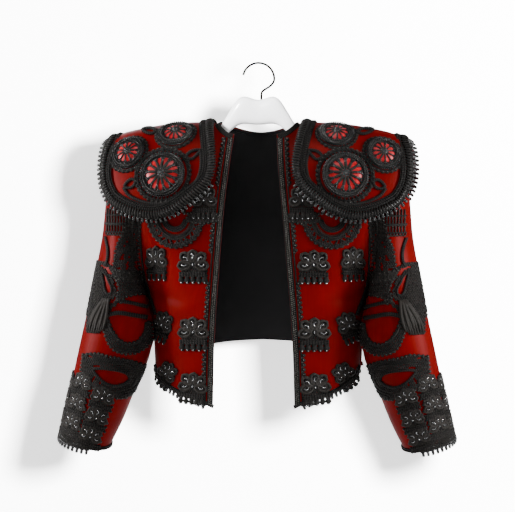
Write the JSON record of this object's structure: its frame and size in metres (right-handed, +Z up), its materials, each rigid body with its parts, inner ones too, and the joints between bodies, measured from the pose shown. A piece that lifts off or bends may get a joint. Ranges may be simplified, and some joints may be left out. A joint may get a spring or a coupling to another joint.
{
  "type": "matador jacket on a hanger",
  "caption": "Short red satin matador jacket with raised black braid, flower motifs, beaded rosettes and fringed epaulettes, open in front, hanging on a plain hanger.",
  "frame": {"origin": "inside top of the hanger's hook, where a rail carries it", "axes": "+Z up, the jacket's front faces -Y, the wearer's left is +X"},
  "size_m": [0.6784, 0.23, 0.6652],
  "materials": {
    "red_satin": "stiff red satin, soft sheen",
    "black_braid": "black silk cord, guipure lace and bead fringe",
    "black_beads": "glossy black beads over red",
    "black_lining": "matt black lining",
    "white_hanger": "white, satin gloss",
    "black_wire": "black wire, semi-gloss"
  },
  "bodies": {
    "root": {"back": "red_satin", "back_lining": "black_lining", "crescent_left": "black_braid", "crescent_right": "black_braid", "cuff_braid_left": "black_braid", "cuff_braid_right": "black_braid", "cuff_lace_left": "black_braid", "cuff_lace_right": "black_braid", "epaulette_border_left": "black_braid", "epaulette_border_right": "black_braid", "epaulette_left": "red_satin", "epaulette_right": "red_satin", "front_braid_left": "black_braid", "front_braid_right": "black_braid", "front_left": "red_satin", "front_right": "red_satin", "hanger_body": "white_hanger", "hanger_hook": "black_wire", "hem_braid_back": "black_braid", "hem_braid_left": "black_braid", "hem_braid_right": "black_braid", "motif_1_left": "black_braid", "motif_1_right": "black_braid", "motif_2_left": "black_braid", "motif_2_right": "black_braid", "motif_3_left": "black_braid", "motif_3_right": "black_braid", "motif_4_left": "black_braid", "motif_4_right": "black_braid", "motif_5_left": "black_braid", "motif_5_right": "black_braid", "motif_6_left": "black_braid", "motif_6_right": "black_braid", "motif_7_left": "black_braid", "motif_7_right": "black_braid", "neck_band": "black_braid", "rosette_back_left": "black_beads", "rosette_back_right": "black_beads", "rosette_big_left": "black_beads", "rosette_big_right": "black_beads", "rosette_outer_left": "black_beads", "rosette_outer_right": "black_beads", "rosette_top_left": "black_beads", "rosette_top_right": "black_beads", "sleeve_almond_left": "black_braid", "sleeve_almond_right": "black_braid", "sleeve_band_left": "black_braid", "sleeve_band_right": "black_braid", "sleeve_leaf_left": "black_braid", "sleeve_leaf_right": "black_braid", "sleeve_left": "red_satin", "sleeve_loop_left": "black_braid", "sleeve_loop_right": "black_braid", "sleeve_right": "red_satin"}
  },
  "joints": []
}
